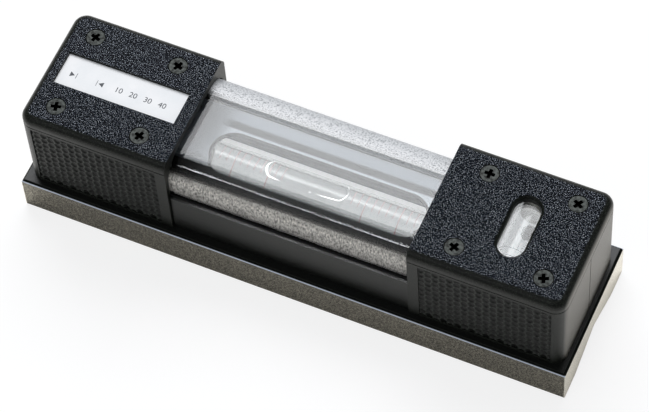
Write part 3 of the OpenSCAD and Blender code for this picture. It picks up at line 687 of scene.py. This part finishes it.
def white_floor():
    """Matte white floor: near white to the camera with the level's soft shadow, brightest in mirrors."""
    material, tree = bare("white_floor")
    paint = add(tree, "BsdfDiffuse", {"Color": linear("#eeeeee")})
    mirrored = add(tree, "BsdfDiffuse", {"Color": [1.5, 1.47, 1.4, 1]})
    faint = add(tree, "BsdfDiffuse", {"Color": linear("#8a8a8a")})
    glow = add(tree, "Emission", {"Color": linear("#ffffff"), "Strength": 0.8})
    seen = add(tree, "AddShader", {0: faint, 1: glow})
    path = add(tree, "LightPath").outputs
    unseen = add(tree, "MixShader", {0: path["Is Glossy Ray"], 1: paint, 2: mirrored})
    return finished(material, tree, add(tree, "MixShader", {0: path["Is Camera Ray"], 1: unseen, 2: seen}))


# Making pieces

def mounted(name, data, material, body):
    """Makes mesh data a piece that rides on a body and takes a slot's finish."""
    data.materials.clear()
    data.materials.append(material)
    made = bpy.data.objects.new(name, data)
    bpy.context.scene.collection.objects.link(made)
    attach(made, body)
    return made


def piece(name, mesh, material, body):
    """The same from a bmesh, with its faces turned outwards."""
    bmesh.ops.recalc_face_normals(mesh, faces=mesh.faces)
    data = bpy.data.meshes.new(name)
    mesh.to_mesh(data)
    mesh.free()
    return mounted(name, data, material, body)


def shade_smooth(made, sharp_degrees):
    made.data.shade_smooth()
    made.data.set_sharp_from_angle(angle=math.radians(sharp_degrees))


def dress(node, material):
    data = nodes[node].data
    data.materials.clear()
    data.materials.append(material)


# Grip panels: staggered scallops pressed into a thin sheet in each recess

SCALLOP_PITCH = 1.9 * MM
SCALLOP_ROW = 2.2 * MM
SCALLOP_DEPTH = 0.5 * MM
SCALLOP_ROUNDNESS = 0.6
SHEET_STEP = 0.24 * MM
SHEET_DEEPEST = 0.34 * MM
SHEET_BACK = 0.38 * MM
GRIP_END_BORDER = 3.4 * MM
GRIP_INNER_BORDER = 3.0 * MM
GRIP_MARGIN = 1.2 * MM


def scallop(x, z):
    """Depth of the pattern at a point: 0 on the ridges, 1 at the bottom of a scallop."""
    column = round(x / SCALLOP_PITCH)
    shift = (column % 2) * SCALLOP_ROW / 2
    across = (x - column * SCALLOP_PITCH) / (SCALLOP_PITCH / 2)
    rows_up = (z - shift) / SCALLOP_ROW
    up = (rows_up - round(rows_up)) * 2
    out = math.hypot(across, up)
    return max(0.0, 1 - out * out) ** SCALLOP_ROUNDNESS


def grip_sheet(name, shell, side, material):
    """The sheet in one shell's recess; side is -1 for the front and 1 for the rear."""
    low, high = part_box(shell)
    inner_x = WINDOW_LEFT if low.x < 0 else WINDOW_RIGHT
    outer_x = low.x if low.x < 0 else high.x
    inward = 1 if low.x < 0 else -1
    x0, x1 = sorted((outer_x + inward * GRIP_END_BORDER, inner_x - inward * GRIP_INNER_BORDER))
    z0, z1 = low.z + GRIP_MARGIN, high.z - GRIP_MARGIN
    face_y = low.y if side < 0 else high.y
    columns = round((x1 - x0) / SHEET_STEP)
    rows = round((z1 - z0) / SHEET_STEP)
    mesh = bmesh.new()
    bmesh.ops.create_grid(mesh, x_segments=columns, y_segments=rows, size=0.5)
    rim = [edge for edge in mesh.edges if edge.is_boundary]
    for vertex in mesh.verts:
        x = x0 + (vertex.co.x + 0.5) * (x1 - x0)
        z = z0 + (vertex.co.y + 0.5) * (z1 - z0)
        depth = min(SCALLOP_DEPTH * scallop(x, z), SHEET_DEEPEST)
        vertex.co = Vector((x, face_y - side * depth, z))
    walls = bmesh.ops.extrude_edge_only(mesh, edges=rim)["geom"]
    for vertex in [part for part in walls if isinstance(part, bmesh.types.BMVert)]:
        vertex.co.y = face_y - side * SHEET_BACK
    back = [part for part in walls if isinstance(part, bmesh.types.BMEdge) and part.is_boundary]
    bmesh.ops.contextual_create(mesh, geom=back)
    shade_smooth(piece(name, mesh, material, "body"), 60)


# Main vial: red marks on the glass; angles are from the top of the vial, positive towards the front

LONG_MARKS = [place * MM for place in (-22.6, -13.1, 13.1, 22.6)]
LONG_MARK_ARC = (-30, 58)
LONG_MARK_WIDTH = 0.169 * MM
LONG_MARK_FOOT = (55, 60)
FOOT_WIDTH = 0.39 * MM
SHORT_MARK_STEP = 1.9 * MM
SHORT_MARKS_EACH_SIDE = range(5, 15)
SHORT_MARK_ARC = (-28, 18)
SHORT_MARK_WIDTH = 0.13 * MM
MARK_CLEARANCE = 0.5 * MM
MARK_LIFT = 0.02 * MM
MARK_STEPS = 14


def mark_strip(mesh, x, width, arc):
    """One line round part of the vial, x away from its middle."""
    start_angle, end_angle = (math.radians(degrees) for degrees in arc)
    hub = Vector((0, VIAL_MIDDLE.y, VIAL_MIDDLE.z))
    crown = hub + Vector((VIAL_MIDDLE.x + x, 0, VIAL_RADIUS + MARK_LIFT))
    ends = [mesh.verts.new(crown + Vector((side * width / 2, 0, 0))) for side in (-1, 1)]
    line = mesh.edges.new(ends)
    bmesh.ops.rotate(mesh, verts=ends, cent=hub, matrix=Matrix.Rotation(start_angle, 3, "X"))
    bmesh.ops.spin(
        mesh, geom=[line] + ends, cent=hub, axis=(1, 0, 0), dvec=(0, 0, 0), use_merge=False,
        use_normal_flip=False, use_duplicate=False, steps=MARK_STEPS, angle=end_angle - start_angle,
    )


def vial_marks(material):
    mesh = bmesh.new()
    for x in LONG_MARKS:
        mark_strip(mesh, x, LONG_MARK_WIDTH, LONG_MARK_ARC)
        mark_strip(mesh, x, FOOT_WIDTH, LONG_MARK_FOOT)
    for count in SHORT_MARKS_EACH_SIDE:
        for side in (-1, 1):
            x = side * count * SHORT_MARK_STEP
            if all(abs(x - long_mark) > MARK_CLEARANCE for long_mark in LONG_MARKS):
                mark_strip(mesh, x, SHORT_MARK_WIDTH, SHORT_MARK_ARC)
    piece("vial_marks", mesh, material, "cradle")


# Bubbles: lenses of air pressed against the crown of each bore

BUBBLE_GAP = 0.12 * MM
BUBBLE_DEPTH_SHARE = 0.72
# The higher this is, the rounder the ends are and the straighter the sides
BUBBLE_STRETCH = 3


def crown_height(across, radius, axis_z):
    return axis_z + math.sqrt(max(radius * radius - across * across, 0))


def bubble(name, node, bore, axis_z, lengthwise, material):
    """The bubble in place of a node's solid; lengthwise is the vial's direction, 'X' or 'Y'."""
    size = extent(node)
    centre = middle(node)
    length, width = (size.x, size.y) if lengthwise == "X" else (size.y, size.x)
    straight = (length - width) / 2
    mesh = bmesh.new()
    bmesh.ops.create_uvsphere(mesh, u_segments=64, v_segments=32, radius=1)
    for vertex in mesh.verts:
        share = max(-1, min(1, vertex.co.x * BUBBLE_STRETCH))
        along = vertex.co.x * width / 2 + straight * share
        across = vertex.co.y * width / 2
        flat = min(1.0, math.hypot(vertex.co.x, vertex.co.y))
        top = crown_height(across, bore - BUBBLE_GAP, axis_z)
        depth = size.z * BUBBLE_DEPTH_SHARE * math.sqrt(1 - flat * flat)
        z = top if vertex.co.z > 0 else top - depth
        x, y = (along, across) if lengthwise == "X" else (-across, along)
        vertex.co = Vector((centre.x + x, centre.y + y, z))
    made = piece(name, mesh, material, node)
    shade_smooth(made, 80)
    return made


# Painted highlight arcs above the main bubble's rim

# Each arc's start and end in degrees from the right, and its radius where it is thickest
MENISCUS_ARCS = [
    (132, 250, 0.27 * MM), (281, 368, 0.17 * MM), (30, 52, 0.08 * MM), (274.5, 276.5, 0.12 * MM),
]
MENISCUS_STEPS = 32
MENISCUS_LENGTH = 22.2 * MM
MENISCUS_WIDTH = 6.0 * MM
MENISCUS_SHIFT = 0.75 * MM
MENISCUS_LIFT = 0.06 * MM
MENISCUS_STRETCH = 2
MENISCUS_TIP = 0.12
MENISCUS_FLATNESS = 0.1
MENISCUS_CORNERS = 6


def bubble_rim(angle):
    """A point of the bubble's long rounded outline, and its direction outwards, in plan."""
    out = Vector((math.cos(angle), math.sin(angle), 0))
    straight = (MENISCUS_LENGTH - MENISCUS_WIDTH) / 2
    along = BUBBLE_MIDDLE.x + straight * max(-1, min(1, out.x * MENISCUS_STRETCH))
    y = out.y * MENISCUS_WIDTH / 2 + MENISCUS_SHIFT
    z = crown_height(y, VIAL_RADIUS + MENISCUS_LIFT, VIAL_MIDDLE.z)
    return Vector((along + out.x * MENISCUS_WIDTH / 2, y, z)), out


def painted_rim_highlights(material):
    """Glowing crescents painted as the highlights that the bubble's rim throws on the glass above it, thin
    at their ends.
    """
    mesh = bmesh.new()
    for start_degrees, end_degrees, thickest in MENISCUS_ARCS:
        span = end_degrees - start_degrees
        turned = [start_degrees + span * step / MENISCUS_STEPS for step in range(MENISCUS_STEPS + 1)]
        rim = [bubble_rim(math.radians(degrees)) for degrees in turned]
        run = [0.0]
        for near, far in zip(rim, rim[1:]):
            run.append(run[-1] + (far[0].xy - near[0].xy).length)
        rings = []
        for (spot, out), gone in zip(rim, run):
            radius = thickest * (MENISCUS_TIP + math.sin(math.pi * gone / run[-1]))
            rings.append(rim_ring(mesh, spot, out, radius))
        for near, far in zip(rings, rings[1:]):
            bmesh.ops.bridge_loops(mesh, edges=near + far)
        for ring in (rings[0], rings[-1]):
            bmesh.ops.contextual_create(mesh, geom=ring)
    shade_smooth(piece("bubble_painted_highlights", mesh, material, "main_bubble"), 60)


def rim_ring(mesh, spot, out, radius):
    """The edges of one flat ring across an arc."""
    corners = []
    for count in range(MENISCUS_CORNERS):
        turn = math.tau * count / MENISCUS_CORNERS
        lift = Vector((0, 0, MENISCUS_FLATNESS * radius * math.sin(turn)))
        corners.append(mesh.verts.new(spot + lift + out * radius * math.cos(turn)))
    return [mesh.edges.new(pair) for pair in zip(corners, corners[1:] + corners[:1])]


# Label: generic numbers, and two pointers with ticks

INK_THICKNESS = 0.02 * MM
INK_MIDDLE = LABEL_TOP + 0.012 * MM
LINE_Y = LABEL_MIDDLE.y - 0.7 * MM
NUMBERS_X = LABEL_MIDDLE.x + 5.6 * MM
NUMBERS_HEIGHT = 2.2 * MM
POINTERS = {"label_arrow_right": (-12.6 * MM, 1), "label_arrow_left": (-6.2 * MM, -1)}
POINTER_RADIUS = 0.85 * MM
POINTER_SET_BACK = 1.0 * MM
TICK_WIDTH = 0.12 * MM
TICK_HEIGHT = 1.7 * MM
TICK_AHEAD = 0.35 * MM


def label_numbers(material):
    curve = bpy.data.curves.new("label_numbers", "FONT")
    curve.body = "10   20   30   40"
    curve.size = NUMBERS_HEIGHT
    curve.align_x = "CENTER"
    curve.align_y = "CENTER"
    curve.extrude = INK_THICKNESS / 2
    source = bpy.data.objects.new("label_numbers_curve", curve)
    bpy.context.scene.collection.objects.link(source)
    bpy.context.view_layer.update()
    data = bpy.data.meshes.new_from_object(source)
    bpy.data.objects.remove(source)
    data.transform(Matrix.Translation((NUMBERS_X, LINE_Y, INK_MIDDLE)))
    mounted("label_numbers", data, material, "body")


def label_pointer(name, from_middle, way, material):
    """A small triangle pointing at an upright tick; way is 1 to the right and -1 to the left."""
    tip_x = LABEL_MIDDLE.x + from_middle
    mesh = bmesh.new()
    bmesh.ops.create_cone(
        mesh, segments=3, radius1=POINTER_RADIUS, radius2=POINTER_RADIUS, depth=INK_THICKNESS, cap_ends=True,
    )
    turn = Matrix.Rotation(math.radians(-90 * way), 4, "Z")
    place = Matrix.Translation((tip_x - way * POINTER_SET_BACK, LINE_Y, INK_MIDDLE))
    bmesh.ops.transform(mesh, verts=mesh.verts, matrix=place @ turn)
    tick = bmesh.ops.create_cube(mesh, size=1)["verts"]
    bmesh.ops.scale(mesh, verts=tick, vec=(TICK_WIDTH, TICK_HEIGHT, INK_THICKNESS))
    bmesh.ops.translate(mesh, verts=tick, vec=(tip_x + way * TICK_AHEAD, LINE_Y, INK_MIDDLE))
    piece(name, mesh, material, "body")


# Cross vial: two dark rings on the glass

RING_PLACES = (-6.1 * MM, -3.9 * MM)
RING_WIDTH = 0.22 * MM
RING_LIFT = 0.03 * MM


def cross_rings(material):
    mesh = bmesh.new()
    radius = CROSS_RADIUS + RING_LIFT
    turn = Matrix.Rotation(math.radians(90), 4, "X")
    for y in RING_PLACES:
        ring = bmesh.ops.create_cone(
            mesh, segments=96, radius1=radius, radius2=radius, depth=RING_WIDTH, cap_ends=False,
        )["verts"]
        place = Matrix.Translation((CROSS_MIDDLE.x, y, CROSS_MIDDLE.z))
        bmesh.ops.transform(mesh, verts=ring, matrix=place @ turn)
    shade_smooth(piece("cross_vial_rings", mesh, material, "body"), 40)


# Floor, and its reach from its middle to its edges in metres

FLOOR_REACH = 3


def make_floor():
    mesh = bmesh.new()
    bmesh.ops.create_grid(mesh, x_segments=1, y_segments=1, size=FLOOR_REACH)
    data = bpy.data.meshes.new("floor")
    mesh.to_mesh(data)
    mesh.free()
    data.materials.append(white_floor())
    floor = bpy.data.objects.new("floor", data)
    bpy.context.scene.collection.objects.link(floor)


def dress_nodes():
    finishes = {
        blackened_steel(): ["base"],
        frame_enamel(): ["frame"],
        spark_grained_abs(): [
            "label_shell_front", "label_shell_rear", "label_cap",
            "cross_shell_front", "cross_shell_rear", "cross_cap",
        ],
        blackened_screw(): ["frame_screws", "label_cap_screws", "cross_cap_screws"],
        satin_label(): ["label_plate"],
        clear_acrylic(): ["clear_cover", "cross_window"],
        matte("gasket_foam", "#101010", "#1d1d1d", 0.3, 0.9): ["cover_gaskets"],
        satin_black_plate(): ["mask_plate"],
        bright_metal("zinc_plate", "#8f9092", "#b9babb", 1.5): [
            "mask_screws", "pivot_pin", "retaining_ring", "cross_holder_screws",
        ],
        cradle_enamel_and_painted_light(): ["vial_cradle"],
        matte("pressed_cork", "#4f3b26", "#7d6040", 0.6, 0.9): ["vial_pads"],
        vial_glass(): ["main_vial", "cross_vial"],
        matte("sealing_cement", "#cfccc2", "#e3e1da", 0.5, 0.8): ["main_vial_plugs", "cross_vial_plugs"],
        spirit(): ["main_spirit", "cross_spirit"],
        bright_metal("turned_brass", "#9a7f45", "#c2a565", 1.0): ["adjusting_screw"],
        holder_moulding_painted_glow(): ["cross_holder"],
    }
    for material, names in finishes.items():
        for node in names:
            dress(node, material)


def main():
    bpy.context.scene.view_settings.view_transform = "Standard"
    make_camera()
    make_room()
    area_light("softbox", SOFTBOX_WAY, width=0.9, depth=0.74, watts=10.6, colour="#f6f7fa")
    area_light("front_lamp", LAMP_WAY, width=0.24, depth=0.05, watts=0.8, colour="#fbfcff")
    make_floor()
    dress_nodes()

    grip = grip_abs()
    grip_sheet("label_grip_front", "label_shell_front", -1, grip)
    grip_sheet("label_grip_rear", "label_shell_rear", 1, grip)
    grip_sheet("cross_grip_front", "cross_shell_front", -1, grip)
    grip_sheet("cross_grip_rear", "cross_shell_rear", 1, grip)

    vial_marks(red_mark())
    air = air_bubble()
    main_air = bubble("main_bubble_air", "main_bubble", VIAL_BORE, VIAL_MIDDLE.z, "X", air)
    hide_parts("main_bubble")
    cross_air = bubble("cross_bubble_air", "cross_bubble", CROSS_BORE, CROSS_MIDDLE.z, "Y", air)
    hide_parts("cross_bubble")
    painted_rim_highlights(painted_meniscus_glint())

    ink = printing_ink()
    for name, (from_middle, way) in POINTERS.items():
        label_pointer(name, from_middle, way, ink)
    label_numbers(ink)
    cross_rings(ink)


main()
